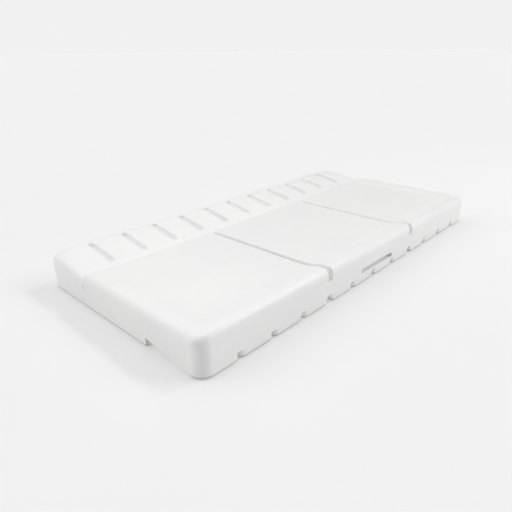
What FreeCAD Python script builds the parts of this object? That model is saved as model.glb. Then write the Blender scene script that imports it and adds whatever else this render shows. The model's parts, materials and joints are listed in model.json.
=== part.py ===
import FreeCAD, Part
import math
import os

from FreeCAD import Vector

# Three-section padded mat, lying flat.  Millimetres, +Z up, +X along the length.
# The plain front face looks to -Y and the inclined, slotted strip runs along +Y.
# Shapes are built with y counted from the front face and are centred on export.

# ---- driving dimensions ----
BAY = 100.0               # spacing of channels and slots along the mat
BAYS = 12                 # bays between channels, ends included
FOLD_X = 2 * BAY          # fold lines at x = -FOLD_X and +FOLD_X
HALF_LENGTH = BAYS * BAY / 2
WIDTH = 590.0
STRIP_Y = 420.0           # valley between the panels and the incline strip
SKIN = 3.0                # thickness of the moulded skins
FIT = 0.3                 # clearance of a core inside its skin
HEM_Z = 1.0               # the skins stop this far above the ground
BASE_TOP = 42.0           # top of the dense base blocks
CORNER_R = 30.0           # upright corners of the mat
END_TOP_R = 16.0          # rounding over the two ends
END_TOP = 88.0            # where that rounding stops, and the top slopes up inwards
END_RISE = 9.0            # by so much, over the rim and its ramp

# ---- panel section: front lip, shallow dish, rim at the ends ----
LIP_TOP = 92.0
LIP_START_Z = 70.0        # the front face turns over into the lip here
LIP_MIDDLE = (7.0, 85.5)  # (y, z) half way round the lip
LIP_Y = 22.0
DISH_Y = (31.0, 43.0, 56.0, 70.0, 92.0)
DISH_DROP = (0.5, 3.0, 6.5, 9.0, 10.0)
PANEL_BACK_DROP = 12.0
RIM_SHARE = 0.5           # share of those drops that is taken back along the end rims
PANEL_BACK_R = 11.0
RIM_WIDTH = 30.0          # level rim along each end
RIM_RAMP = 50.0           # slope from the rim down into the dish

# ---- incline strip ----
STRIP_LOW_Z = 65.0        # strip surface at the valley
STRIP_Y_STEPS = (6.0, 30.0, 56.0, 88.0, 128.0, 153.0)
STRIP_RISE = (3.0, 8.0, 13.0, 18.5, 24.5, 27.0)
STRIP_RIM = 2.0           # extra height of the strip at the ends
BACK_R = 17.0             # rounding of the back top edge

# ---- slots, grooves and channels ----
SLOT_LENGTH = 120.0
SLOT_WIDTH = 17.0
SLOT_DEPTH = 12.0
SLOT_MID_Y = 512.0
SLOT_TILT = 9.5           # degrees, the slope of the strip under the slots
GROOVE_WIDTH = 11.0
GROOVE_FLOOR = 60.0
CREASE_WIDTH = 2.0
CREASE_FLOOR = 45.0
# channel outlines: half width at the mouth, half width at the shoulder, height,
# rounding of the rib's foot, rounding of the crown
FOLD_CHANNEL = (13.0, 9.5, 22.0, 5.0, 6.0)
FLEX_CHANNEL = (4.0, 4.0, 18.0, 4.0, 3.0)
FLARED_MOUTH = (15.0, 12.0, 22.0, 6.0, 7.0)
FLARE_DEPTH = 11.0        # a flex channel widens over this depth to meet the long faces
FLARE_ANGLES = (90, 60, 35, 0)
WEB_HALF = 8.5            # half thickness of the foam left at a fold line

# ---- grip slot in the front face and lift recess under each end ----
GRIP_X = 18.0
GRIP_Z = 32.5
GRIP_LENGTH = 156.0
GRIP_HEIGHT = 13.0
GRIP_DEPTH = 26.0
GRIP_WALL = 1.5
RECESS_Y = (24.0, 174.0)
RECESS_HEIGHT = (3.0, 21.0)
RECESS_DEPTH = 18.0

TALL = 200.0              # taller than anything in the mat


def box(x0, x1, y0, y1, z0, z1):
    return Part.makeBox(x1 - x0, y1 - y0, z1 - z0, Vector(x0, y0, z0))


def outline(steps):
    """Closed wire through points; a step of two points is an arc: (middle, end)."""
    edges = []
    here = Vector(*steps[0])
    for step in steps[1:] + [steps[0]]:
        if isinstance(step[0], tuple):
            middle, end = Vector(*step[0]), Vector(*step[1])
            edges.append(Part.Arc(here, middle, end).toShape())
        else:
            end = Vector(*step)
            edges.append(Part.LineSegment(here, end).toShape())
        here = end
    return Part.Wire(edges)


def at_x(x, points):
    """Lift (y, z) steps into the plane at x."""
    lifted = []
    for point in points:
        if isinstance(point[0], tuple):
            lifted.append(tuple((x, y, z) for y, z in point))
        else:
            lifted.append((x, point[0], point[1]))
    return lifted


def panel_section(rim, inset):
    """Cross-section of a panel as (y, z) steps; rim 1 is the level rim, 0 the dish."""
    top = LIP_TOP - inset
    lean = 0.7 * inset
    share = 1 - RIM_SHARE * rim
    steps = [(inset, 0.0), (inset, LIP_START_Z)]
    steps.append(((LIP_MIDDLE[0] + lean, LIP_MIDDLE[1] - lean), (LIP_Y, top)))
    for y, drop in zip(DISH_Y, DISH_DROP):
        steps.append((y, top - share * drop))
    back_top = top - share * PANEL_BACK_DROP
    back = STRIP_Y - inset
    turn = 0.3 * PANEL_BACK_R
    steps.append((back - PANEL_BACK_R, back_top))
    steps.append(((back - turn, back_top - turn), (back, back_top - PANEL_BACK_R)))
    steps.append((back, 0.0))
    return steps


def strip_section(rim, inset):
    """Cross-section of the incline strip as (y, z) steps."""
    low = STRIP_LOW_Z - inset + rim * STRIP_RIM
    front = STRIP_Y + inset
    steps = [(front, 0.0), (front, low)]
    for y, rise in zip(STRIP_Y_STEPS, STRIP_RISE):
        steps.append((STRIP_Y + y, low + rise))
    back = WIDTH - inset
    top = low + STRIP_RISE[-1]
    turn = 0.3 * BACK_R
    steps.append(((back - turn, top - turn), (back, top - BACK_R)))
    steps.append((back, 0.0))
    return steps


def prism(section, rim, inset, x0, x1):
    wire = outline(at_x(x0, section(rim, inset)))
    return Part.Face(wire).extrude(Vector(x1 - x0, 0, 0))


def end_body(section, inset, fold_x):
    """Section swept from the left end to fold_x, with the rim sloping into the dish."""
    start = -HALF_LENGTH
    ramp_start = start + RIM_WIDTH
    ramp_end = ramp_start + RIM_RAMP
    rim = prism(section, 1, inset, start, ramp_start)
    wires = [outline(at_x(ramp_start, section(1, inset))), outline(at_x(ramp_end, section(0, inset)))]
    ramp = Part.makeLoft(wires, True, True)
    dish = prism(section, 0, inset, ramp_end, fold_x)
    return rim.fuse([ramp, dish]).removeSplitter()


def footprint(x1, y0, y1, inset, z0, z1):
    """Upright block from the left end to x1, its corners rounded where they are the mat's own."""
    x0 = -HALF_LENGTH + inset
    block = box(x0, x1, y0, y1, z0, z1)
    corners = [
        edge for edge in block.Edges
        if edge.BoundBox.XMax < x0 + 1 and edge.BoundBox.YLength < 1
        and min(edge.BoundBox.YMin - inset, WIDTH - inset - edge.BoundBox.YMin) < 1
    ]
    return block.makeFillet(CORNER_R - inset, corners)


def end_rounding(inset, fold_x):
    """Body with a rounded top edge over the left end, clear of the mat further in."""
    x0 = -HALF_LENGTH + inset
    top = END_TOP - inset
    radius = END_TOP_R - inset
    turn = 0.29 * radius
    steps = [
        (x0, -1, -1), (x0, -1, top - radius),
        ((x0 + turn, -1, top - turn), (x0 + radius, -1, top)),
        (-HALF_LENGTH + RIM_WIDTH + RIM_RAMP, -1, top + END_RISE),
        (fold_x, -1, top + END_RISE), (fold_x, -1, -1),
    ]
    return Part.Face(outline(steps)).extrude(Vector(0, WIDTH + 2, 0))


def left_solid(section, y0, y1, inset, fold_x):
    """Outer form of one half of the left section, shrunk by inset."""
    body = end_body(section, inset, fold_x)
    plan = footprint(fold_x, y0, y1, inset, -1, TALL)
    return body.common(plan).common(end_rounding(inset, fold_x))


def channel_steps(x, y, form):
    """Outline of a channel about x in the plane at y, with soft rib corners."""
    mouth, throat, top, foot, crown = form
    wide = mouth + foot
    shoulder = top - crown
    low, high = 0.3 * foot, 0.3 * crown
    return [
        (x - wide, y, -5), (x - wide, y, 0),
        ((x - mouth - low, y, low), (x - mouth, y, foot)),
        (x - throat, y, shoulder), ((x - throat + high, y, top - high), (x - throat + crown, y, top)),
        (x + throat - crown, y, top), ((x + throat - high, y, top - high), (x + throat, y, shoulder)),
        (x + mouth, y, foot), ((x + mouth + low, y, low), (x + wide, y, 0)),
        (x + wide, y, -5),
    ]


def straight_channel(x, form):
    return Part.Face(outline(channel_steps(x, -1, form))).extrude(Vector(0, WIDTH + 2, 0))


def flare(x, face_y, inwards):
    """Cutter for the rounded mouth of a flex channel at a long face."""
    wires = []
    for angle in map(math.radians, FLARE_ANGLES):
        share = 1 - math.cos(angle)
        form = [thin + share * (wide - thin) for thin, wide in zip(FLEX_CHANNEL, FLARED_MOUTH)]
        depth = FLARE_DEPTH * (1 - math.sin(angle))
        wires.append(outline(channel_steps(x, face_y + inwards * depth, form)))
    return Part.makeLoft(wires, True, True)


def channel_cutters(x):
    """Cutters for the bending channel across the underside at x."""
    if abs(x) == FOLD_X:
        return [straight_channel(x, FOLD_CHANNEL)]
    return [straight_channel(x, FLEX_CHANNEL), flare(x, 0, 1), flare(x, WIDTH, -1)]


def slot(x, grow):
    """Cutter for one rounded slot in the incline strip; grow widens and deepens it."""
    radius = SLOT_WIDTH / 2 + grow
    half = SLOT_LENGTH / 2 - SLOT_WIDTH / 2
    depth = SLOT_DEPTH + grow
    body = box(-radius, radius, -half, half, -depth, 40)
    for end in (-half, half):
        body = body.fuse(Part.makeCylinder(radius, depth + 40, Vector(0, end, -depth)))
    body.rotate(Vector(0, 0, 0), Vector(1, 0, 0), SLOT_TILT)
    body.translate(Vector(x, SLOT_MID_Y, strip_height(SLOT_MID_Y)))
    return body


def strip_height(y):
    """Height of the strip surface between its ends, at y."""
    steps = [STRIP_Y + step for step in STRIP_Y_STEPS]
    for i in range(len(steps) - 1):
        if steps[i] <= y <= steps[i + 1]:
            share = (y - steps[i]) / (steps[i + 1] - steps[i])
            rise = STRIP_RISE[i] + share * (STRIP_RISE[i + 1] - STRIP_RISE[i])
            return STRIP_LOW_Z + rise
    return STRIP_LOW_Z + STRIP_RISE[-1]


def lift_recess(depth):
    """Cutter for the tapered hollow under the left end, where fingers go in to lift."""
    x = -HALF_LENGTH - 1
    near, far = RECESS_Y
    low, high = RECESS_HEIGHT
    steps = [(x, near, -1), (x, near, low), (x, far, high), (x, far, -1)]
    return Part.Face(outline(steps)).extrude(Vector(depth + 1, 0, 0))


def crease():
    gap = CREASE_WIDTH / 2
    return box(-HALF_LENGTH - 1, HALF_LENGTH + 1, STRIP_Y - gap, STRIP_Y + gap, CREASE_FLOOR, TALL)


def grip_capsule(grow, depth):
    """Rounded bar along X in the front face: the grip slot, grown by grow."""
    radius = GRIP_HEIGHT / 2 + grow
    half = GRIP_LENGTH / 2 - GRIP_HEIGHT / 2
    body = box(GRIP_X - half, GRIP_X + half, 0, depth, GRIP_Z - radius, GRIP_Z + radius)
    for end in (-half, half):
        centre = Vector(GRIP_X + end, 0, GRIP_Z)
        body = body.fuse(Part.makeCylinder(radius, depth, centre, Vector(0, 1, 0)))
    return body.removeSplitter()


def cut_all(shape, cutters):
    return shape.cut(cutters).removeSplitter()


def channels_near(x0, x1):
    cutters = []
    for k in range(-5, 6):
        if x0 - BAY / 2 < BAY * k < x1 + BAY / 2:
            cutters += channel_cutters(BAY * k)
    return cutters


def slots_inside(x0, x1, grow):
    places = [BAY * k for k in range(-5, 6)]
    return [slot(x, grow) for x in places if x0 < x < x1]


# ---- the left section ----

PANEL_FOLD = FOLD_X + GROOVE_WIDTH / 2     # panel edge beside a groove
STRIP_FOLD = FOLD_X + WEB_HALF             # strip edge beside its fold slot


def left_panel(inset, back_inset):
    return left_solid(panel_section, inset, STRIP_Y - back_inset, inset, -PANEL_FOLD - inset)


def left_strip(inset, front_inset):
    return left_solid(strip_section, STRIP_Y + front_inset, WIDTH - inset, inset, -STRIP_FOLD - inset)


def upper(shape, inset):
    """The part of a shape above the base blocks."""
    return shape.common(box(-2000, 2000, -10, WIDTH + 10, BASE_TOP + inset, TALL))


def hem(shape):
    return shape.common(box(-2000, 2000, -10, WIDTH + 10, HEM_Z, TALL))


def left_panel_cover():
    outer = left_panel(0, 0)
    cavity = upper(left_panel(SKIN, SKIN), 0)
    hollow = footprint(-STRIP_FOLD, SKIN, STRIP_Y + 1, SKIN, -5, BASE_TOP)
    toe = box(-STRIP_FOLD, -FOLD_X, -1, STRIP_Y + 1, -5, BASE_TOP)
    cutters = [cavity, hollow, toe, crease(), lift_recess(SKIN)]
    return hem(cut_all(outer, cutters + channels_near(-HALF_LENGTH, -FOLD_X)))


def left_strip_cover():
    outer = left_strip(0, 0)
    x1 = -STRIP_FOLD
    cavity = upper(left_strip(SKIN, SKIN), 0).cut(slots_inside(-HALF_LENGTH, x1, SKIN))
    hollow = footprint(x1 + 1, STRIP_Y - 1, WIDTH - SKIN, SKIN, -5, BASE_TOP)
    cutters = [cavity, hollow, crease()] + slots_inside(-HALF_LENGTH, x1, 0)
    return hem(cut_all(outer, cutters + channels_near(-HALF_LENGTH, -FOLD_X)))


def left_panel_core():
    gap = SKIN + FIT
    return upper(left_panel(gap, gap), FIT)


def left_strip_core():
    gap = SKIN + FIT
    core = upper(left_strip(gap, gap), FIT)
    return cut_all(core, slots_inside(-HALF_LENGTH, -STRIP_FOLD, gap))


def left_base_block():
    gap = SKIN + FIT
    block = footprint(-STRIP_FOLD, gap, WIDTH - gap, gap, 0, BASE_TOP)
    return cut_all(block, [lift_recess(RECESS_DEPTH)] + channels_near(-HALF_LENGTH, -FOLD_X))


# ---- the middle section ----

def middle_prism(section, inset, fold_x, y0, y1):
    body = prism(section, 0, inset, -fold_x + inset, fold_x - inset)
    return body.common(box(-2000, 2000, y0, y1, -1, TALL))


def middle_panel_cover():
    inner_x = FOLD_X - GROOVE_WIDTH / 2
    hollow_x = FOLD_X - WEB_HALF
    outer = middle_prism(panel_section, 0, inner_x, 0, STRIP_Y)
    cavity = upper(middle_prism(panel_section, SKIN, inner_x, SKIN, STRIP_Y - SKIN), 0)
    hollow = box(-hollow_x, hollow_x, SKIN, STRIP_Y + 1, -5, BASE_TOP)
    toes = [box(hollow_x, FOLD_X, -1, STRIP_Y + 1, -5, BASE_TOP),
            box(-FOLD_X, -hollow_x, -1, STRIP_Y + 1, -5, BASE_TOP)]
    cutters = [cavity, hollow, crease(), grip_capsule(GRIP_WALL, GRIP_DEPTH)] + toes
    return hem(cut_all(outer, cutters + channels_near(-FOLD_X, FOLD_X)))


def middle_strip_cover():
    inner_x = FOLD_X - WEB_HALF
    outer = middle_prism(strip_section, 0, inner_x, STRIP_Y, WIDTH)
    cavity = upper(middle_prism(strip_section, SKIN, inner_x, STRIP_Y + SKIN, WIDTH - SKIN), 0)
    cavity = cavity.cut(slots_inside(-inner_x, inner_x, SKIN))
    hollow = box(-inner_x - 1, inner_x + 1, STRIP_Y - 1, WIDTH - SKIN, -5, BASE_TOP)
    cutters = [cavity, hollow, crease()] + slots_inside(-inner_x, inner_x, 0)
    return hem(cut_all(outer, cutters + channels_near(-FOLD_X, FOLD_X)))


def middle_panel_core():
    gap = SKIN + FIT
    body = middle_prism(panel_section, gap, FOLD_X - GROOVE_WIDTH / 2, gap, STRIP_Y - gap)
    return upper(body, FIT)


def middle_strip_core():
    gap = SKIN + FIT
    inner_x = FOLD_X - WEB_HALF
    body = upper(middle_prism(strip_section, gap, inner_x, STRIP_Y + gap, WIDTH - gap), FIT)
    return cut_all(body, slots_inside(-inner_x, inner_x, gap))


def middle_base_block():
    gap = SKIN + FIT
    inner_x = FOLD_X - WEB_HALF
    block = box(-inner_x, inner_x, gap, WIDTH - gap, 0, BASE_TOP)
    pocket = grip_capsule(GRIP_WALL + FIT, GRIP_DEPTH + GRIP_WALL + FIT)
    return cut_all(block, [pocket] + channels_near(-FOLD_X, FOLD_X))


def grip_pocket():
    """Moulded liner of the grip slot: a shallow cup with its mouth in the front face."""
    outer = grip_capsule(GRIP_WALL, GRIP_DEPTH + GRIP_WALL)
    return outer.cut(grip_capsule(0, GRIP_DEPTH))


# ---- the foam webs left standing at the left fold line ----

def left_fold_web():
    """Web under the groove between two panels, with a round groove floor."""
    narrow = GROOVE_WIDTH / 2
    web = box(-WEB_HALF, WEB_HALF, 0, STRIP_Y, 15, BASE_TOP)
    neck = box(-narrow, narrow, 0, STRIP_Y, BASE_TOP - 1, GROOVE_FLOOR + narrow)
    web = web.fuse(neck)
    web.translate(Vector(-FOLD_X, 0, 0))
    centre = Vector(-FOLD_X, -1, GROOVE_FLOOR + narrow)
    floor = Part.makeCylinder(narrow, STRIP_Y + 2, centre, Vector(0, 1, 0))
    return cut_all(web, [floor] + channel_cutters(-FOLD_X))


def left_strip_web():
    """Web across the incline strip at the fold line, with its share of the slots."""
    web = prism(strip_section, 0, 0, -FOLD_X - WEB_HALF, -FOLD_X + WEB_HALF)
    web = web.common(box(-2000, 2000, 0, WIDTH, 15, TALL))
    return cut_all(web, [slot(-FOLD_X, 0), crease()] + channel_cutters(-FOLD_X))


def mirrored(shape):
    return shape.mirror(Vector(0, 0, 0), Vector(1, 0, 0))


def save(name, shape):
    placed = shape.copy()
    placed.translate(Vector(0, -WIDTH / 2, 0))
    solids = placed.Solids
    print(name, "solids", len(solids), "valid", placed.isValid(), "cm3", round(placed.Volume / 1000, 1))
    result = solids[0] if len(solids) == 1 else Part.makeCompound(solids)
    result.exportStep("parts/" + name + ".step")


def main():
    os.makedirs("parts", exist_ok=True)
    two_sided = {
        "panel_cover": left_panel_cover(),
        "strip_cover": left_strip_cover(),
        "panel_core": left_panel_core(),
        "strip_core": left_strip_core(),
        "base_block": left_base_block(),
        "fold_web": left_fold_web(),
        "strip_web": left_strip_web(),
    }
    for name, shape in two_sided.items():
        save("left_" + name, shape)
        save("right_" + name, mirrored(shape))
    save("middle_panel_cover", middle_panel_cover())
    save("middle_strip_cover", middle_strip_cover())
    save("middle_panel_core", middle_panel_core())
    save("middle_strip_core", middle_strip_core())
    save("middle_base_block", middle_base_block())
    save("grip_pocket", grip_pocket())


main()
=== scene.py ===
import json
import math

import bmesh
import bpy
import numpy as np
from mathutils import Matrix, Vector


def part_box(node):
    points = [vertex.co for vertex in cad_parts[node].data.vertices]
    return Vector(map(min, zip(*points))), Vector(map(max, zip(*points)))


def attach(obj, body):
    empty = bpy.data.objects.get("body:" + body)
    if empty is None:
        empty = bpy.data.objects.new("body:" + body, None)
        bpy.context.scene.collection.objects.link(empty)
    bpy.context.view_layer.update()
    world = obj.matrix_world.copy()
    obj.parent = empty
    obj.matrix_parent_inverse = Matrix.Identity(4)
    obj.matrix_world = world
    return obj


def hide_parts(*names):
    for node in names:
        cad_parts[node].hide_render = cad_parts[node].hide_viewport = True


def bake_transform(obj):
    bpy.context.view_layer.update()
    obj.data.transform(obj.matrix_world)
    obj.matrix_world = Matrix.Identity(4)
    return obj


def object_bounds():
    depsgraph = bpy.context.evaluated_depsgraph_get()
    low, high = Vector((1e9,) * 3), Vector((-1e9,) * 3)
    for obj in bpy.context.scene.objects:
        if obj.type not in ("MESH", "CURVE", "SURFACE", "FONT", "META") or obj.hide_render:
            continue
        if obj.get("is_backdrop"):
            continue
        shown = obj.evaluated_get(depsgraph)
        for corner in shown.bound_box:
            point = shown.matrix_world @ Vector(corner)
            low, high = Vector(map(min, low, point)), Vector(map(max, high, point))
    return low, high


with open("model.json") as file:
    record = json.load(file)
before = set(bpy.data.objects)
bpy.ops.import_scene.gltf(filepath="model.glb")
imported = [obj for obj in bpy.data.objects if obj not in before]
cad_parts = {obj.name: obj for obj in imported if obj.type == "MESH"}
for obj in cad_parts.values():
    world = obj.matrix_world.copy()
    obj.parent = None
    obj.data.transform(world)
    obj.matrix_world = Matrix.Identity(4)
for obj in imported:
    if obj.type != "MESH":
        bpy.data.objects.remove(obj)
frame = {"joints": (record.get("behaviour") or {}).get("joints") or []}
cad_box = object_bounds()

# Shapes are worked out in millimetres.  p is counted from an end of the mat inwards, q from
# the outer long face of a cover inwards, and z up from the floor.
MM = 0.001
MAT_HIGH = Vector(cad_box[1]) / MM
HALF_LENGTH = MAT_HIGH.x
HALF_WIDTH = MAT_HIGH.y
FOLD_X = abs(frame["joints"][0]["pos_m"][0]) / MM
FOLD_P = HALF_LENGTH - FOLD_X
BAY = FOLD_X / 2
VALLEY_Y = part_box("left_panel_cover")[1].y / MM      # where the panel meets the strip
PANEL_DEPTH = VALLEY_Y + HALF_WIDTH
STRIP_DEPTH = HALF_WIDTH - VALLEY_Y
BASE_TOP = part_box("left_base_block")[1].z / MM

# ---- skins ----
SKIN = 3.0
FIT = 0.3
INNER = SKIN + FIT          # from a face of the mat to the foam behind its skin
HEM_Z = 2.0                 # lowest edge of the skins
HEM_R = 2.3                 # the hem is rolled under by this radius
SHARP_TURN = math.radians(55)
CORNER_R = 30.0
END_R = 16.0
END_TOP = 88.0              # the top is held to this height at END_R from the ends of the mat,
END_RISE = 9.0              # and the limit rises by END_RISE over END_RUN further in
END_RUN = 64.0
CREASE_HALF = 1.0
CREASE_FLOOR = 45.0
CREASE_FADE = 4.0           # the crease closes over this height
CREASE_FOOT = 42.0          # lowest edge of the skins under the crease
NOTCH_R = 3.0               # small upright corner beside the crease
NOTCH_GROWTH = 0.8
NOTCH_SHUT = 0.6            # what is left of the notch where the crease is closed
ROUND_DEPTH = 22.0          # plan depth of the rounded border of a cover
LEAST_CORNER_R = 8.0        # of the rings inside an outline
BAND_HALF = 17.0            # half width of the piece of skin and foam across a fold line

# ---- panel ----
LIP_TOP = 92.0
LIP_R = 22.0
CREST_TURN = math.radians(40)   # how steeply the front lip falls away just outside its crest
CREST_EASE = 0.6
PANEL_BACK_R = 11.0
# (distance from the front face, drop below the lip)
DISH = [(22, 0), (31, 0.5), (43, 3), (56, 6.5), (70, 9), (92, 10), (220, 11), (409, 12)]
RIM_SHARE = 0.5
RIM_START, RIM_STOP = 24.0, 86.0

# ---- strip ----
STRIP_LOW = 65.0
# (distance from the panel, rise above STRIP_LOW)
STRIP_RISE = [(0, 0), (6, 3), (30, 8), (56, 13), (88, 18.5), (128, 24.5), (153, 27), (170, 27)]
STRIP_RIM = 2.0
STRIP_BACK_R = 17.0
STRIP_VALLEY_R = 3.0

# ---- slots, channels, groove, grip slot ----
SLOT_HALF = 64.0
SLOT_R = 16.0
SLOT_DEPTH = 11.5
SLOT_RUN_OUT = 20.0         # the floor of a slot rises over this much more at its ends
SLOT_Q = 78.0
SLOT_TILT = math.radians(9.5)
SLOT_EDGE_R = 4.5
SLOT_SHIFT = 5.0            # the floor of a slot lies this much nearer to its left edge
# channel outlines: half width at the mouth and at the shoulder, height, foot and crown radius
FOLD_CHANNEL = (13.0, 9.5, 22.0, 5.0, 6.0)
FLEX_CHANNEL = (1.5, 1.5, 18.0, 5.0, 1.5)
FLARED_MOUTH = (15.0, 12.0, 22.0, 6.0, 7.0)
FOAM_MOUTH = (18.3, 15.3, 25.3, 4.0, 8.0)
FLARE_DEPTH = 11.0          # a flex channel widens over this depth to meet the long faces
FACE_BASE = 24.4            # the outer faces are plain above this height
GROOVE_HALF = 5.5
GROOVE_FLOOR = 60.0
GROOVE_EDGE_R = 4.5
GROOVE_END_R = 3.5
GRIP_X = 18.0
GRIP_Z = 32.5
GRIP_HALF = 78.0
GRIP_R = 6.5
GRIP_EDGE_R = 1.5
GRIP_DEPTH = 26.0
GRIP_WALL = 1.5
GRIP_MARGIN = 10.0          # the skin is cut back this far round the grip slot to fit its mouth
GRIP_ROWS = 4               # rows of the front wall that the mouth takes
GRIP_ROOF = 1.2             # foam kept between a channel and the room for the grip liner,
GRIP_ROOF_MARGIN = 5.0      # and how far past the ends of the grip slot it reaches
RECESS_Q = (24.0, 174.0)
RECESS_TOP = 21.0
RECESS_DEPTH = 18.0

# ---- points of the meshes ----
TURN_STEPS = 12             # round a corner of the mat
NOTCH_STEPS = 4
STEP_SHARE = (RECESS_Q[1] - CORNER_R) / (PANEL_DEPTH - NOTCH_SHUT - CORNER_R)
# columns of an end as shares of its length, two of them at the upright step of the lift recess
END_SHARES = [0, 0.02, 0.045, 0.07, 0.1, 0.14, 0.19, 0.25, 0.31, STEP_SHARE, STEP_SHARE + 0.001,
              0.43, 0.49, 0.55, 0.61, 0.67, 0.73, 0.79, 0.84, 0.89, 0.93, 0.97, 1]
# rows of a wall as shares of its height
WALL_SHARES = np.array([0, 0.2, 0.38, 0.41, 0.44, 0.48, 0.54, 0.7, 0.85, 1.0])
# rows of the rounded border, inside the outline; close together near the crest of the lip
BORDER = [0.3, 1.1, 2.4, 4.2, 6.4, 8.2, 9.4, 10.3, 11.2, 12.4, 15.2, 18.6, ROUND_DEPTH]
SLOT_BORDER_ROWS = 5        # rounded rows, counted back from the top, that a slot's block takes
VALLEY_LEAD = [8.0, 14.0, 21.0]     # first columns of the valley after the notch, and how far
VALLEY_LEAD_REACH = 90.0            # columns are squeezed to make room for them
RIB_SHARES = (0.26, 0.34, 0.42, 0.5, 0.58, 0.66, 0.74)      # columns between two channels
BAND_COLUMNS = 13           # across the strip's fold line
UNDER_ROWS = 8              # rows along the underside of a band
CUP_STEPS = 48              # round the grip liner
# rows along the underside of a base block as shares of its depth, and those of the lift recess
BLOCK_SHARES = [0, 0.04, 0.1, 0.16, 0.22, 0.3, 0.4, 0.5, 0.6, 0.7, 0.8, 0.9, 1]
RECESS_ROWS = [60.0, 100.0, 140.0, RECESS_Q[1] - 0.2, RECESS_Q[1] + 0.2]
SIDE_BAYS = round(HALF_LENGTH / BAY)
FAR = 1000.0                # a p so far from the ends that the rim plays no part


# =============================== small helpers ===============================

def ease(value):
    value = np.clip(value, 0.0, 1.0)
    return value * value * (3.0 - 2.0 * value)


def soft_min(a, b, softness=1.5):
    low = np.minimum(a, b)
    return low - softness * np.log1p(np.exp(-np.abs(a - b) / softness))


def smooth_curve(points):
    """Monotone smooth curve through (position, value) pairs, level past both ends."""
    xs, ys = np.array(points, float).T
    steps = np.diff(xs)
    slopes = np.diff(ys) / steps
    tangents = np.zeros(len(xs))
    for i in range(1, len(xs) - 1):
        if slopes[i - 1] * slopes[i] > 0:
            near, far = 2 * steps[i] + steps[i - 1], steps[i] + 2 * steps[i - 1]
            tangents[i] = (near + far) / (near / slopes[i - 1] + far / slopes[i])

    def curve(x):
        x = np.clip(x, xs[0], xs[-1])
        i = np.clip(np.searchsorted(xs, x) - 1, 0, len(steps) - 1)
        t = (x - xs[i]) / steps[i]
        ends = ys[i] * (1 + 2 * t) * (1 - t) ** 2 + ys[i + 1] * t * t * (3 - 2 * t)
        return ends + steps[i] * t * (1 - t) * (tangents[i] * (1 - t) - tangents[i + 1] * t)

    return curve


def quarter(steps):
    return np.linspace(0.0, math.pi / 2, steps + 1)


ROLL = quarter(6)


class Surface:
    """Patches that share their borders; build() welds them into one mesh."""

    def __init__(self):
        self.points = []
        self.faces = []

    def grid(self, points, removed=None):
        """A patch of quads through points[row][column]; removed marks the cells left out."""
        rows, columns = points.shape[:2]
        first = len(self.points)
        self.points.extend(points.reshape(-1, 3))
        for r in range(rows - 1):
            for c in range(columns - 1):
                if removed is None or not removed[r, c]:
                    a = first + r * columns + c
                    self.faces.append((a, a + 1, a + 1 + columns, a + columns))

    def rings(self, rings):
        """Closed rings of points joined by quads, each ring inside the one before."""
        loops = np.array(rings)
        self.grid(np.concatenate([loops, loops[:, :1]], axis=1))

    def cap(self, loop):
        first = len(self.points)
        self.points.extend(loop)
        self.faces.append(tuple(range(first, first + len(loop))))

    def build(self, name, place, thickness=0.0):
        """place turns local points into world millimetres; thickness makes a shell inwards."""
        world = place(np.array(self.points)) * MM
        mesh = bpy.data.meshes.new(name)
        mesh.from_pydata([tuple(point) for point in world], [], self.faces)
        solid = bmesh.new()
        solid.from_mesh(mesh)
        bmesh.ops.remove_doubles(solid, verts=solid.verts, dist=0.02 * MM)
        bmesh.ops.dissolve_degenerate(solid, edges=solid.edges, dist=0.005 * MM)
        bmesh.ops.recalc_face_normals(solid, faces=solid.faces)
        highest = max(solid.faces, key=lambda face: face.calc_center_median().z)
        if highest.normal.z < 0:
            bmesh.ops.reverse_faces(solid, faces=solid.faces)
        shade_smooth(solid)
        solid.to_mesh(mesh)
        solid.free()
        piece = bpy.data.objects.new(name, mesh)
        bpy.context.collection.objects.link(piece)
        if thickness:
            shell = piece.modifiers.new("skin", "SOLIDIFY")
            shell.thickness = thickness * MM
            shell.offset = -1.0
            shell.use_even_offset = True
            shell.thickness_clamp = 0.6
            apply_modifiers(piece)
        return piece


def shade_smooth(solid):
    """Smooth shading, with edges sharper than SHARP_TURN kept crisp."""
    for face in solid.faces:
        face.smooth = True
    for edge in solid.edges:
        edge.smooth = len(edge.link_faces) != 2 or edge.calc_face_angle(0.0) < SHARP_TURN


def apply_modifiers(piece):
    graph = bpy.context.evaluated_depsgraph_get()
    final = bpy.data.meshes.new_from_object(piece.evaluated_get(graph))
    piece.modifiers.clear()
    solid = bmesh.new()
    solid.from_mesh(final)
    shade_smooth(solid)
    solid.to_mesh(final)
    solid.free()
    piece.data = final


# =============================== forms of the mat ===============================

dish_drop = smooth_curve(DISH)
strip_rise = smooth_curve(STRIP_RISE)


def rim(p):
    """1 on the rim along an end of the mat, 0 in the dish."""
    return 1.0 - ease((p - RIM_START) / (RIM_STOP - RIM_START))


def end_limit(p):
    """Height that the top keeps below near an end of the mat."""
    return END_TOP + END_RISE * (p - END_R) / END_RUN


def panel_height(p, q):
    return soft_min(LIP_TOP - (1 - RIM_SHARE * rim(p)) * dish_drop(q), end_limit(p))


def strip_height(p, q):
    rise = strip_rise(STRIP_DEPTH - q)
    return soft_min(STRIP_LOW + rise + STRIP_RIM * rim(p), end_limit(p))


def rounding(s, radius, crest=0.0):
    """How far a rounded border of that radius lies below the top, s inside the outline.

    Crest 0 is a quarter round; with crest 1 the top ends in a ridge close to the face."""
    turn = CREST_TURN * crest
    full = radius / np.cos(turn)
    left = np.clip(full - s, 0.0, full)
    drop = radius - np.sqrt(np.maximum(full * full - left * left, 0.0))
    return (drop + np.sqrt(drop * drop + (2 * CREST_EASE * crest) ** 2)) / 2


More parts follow.
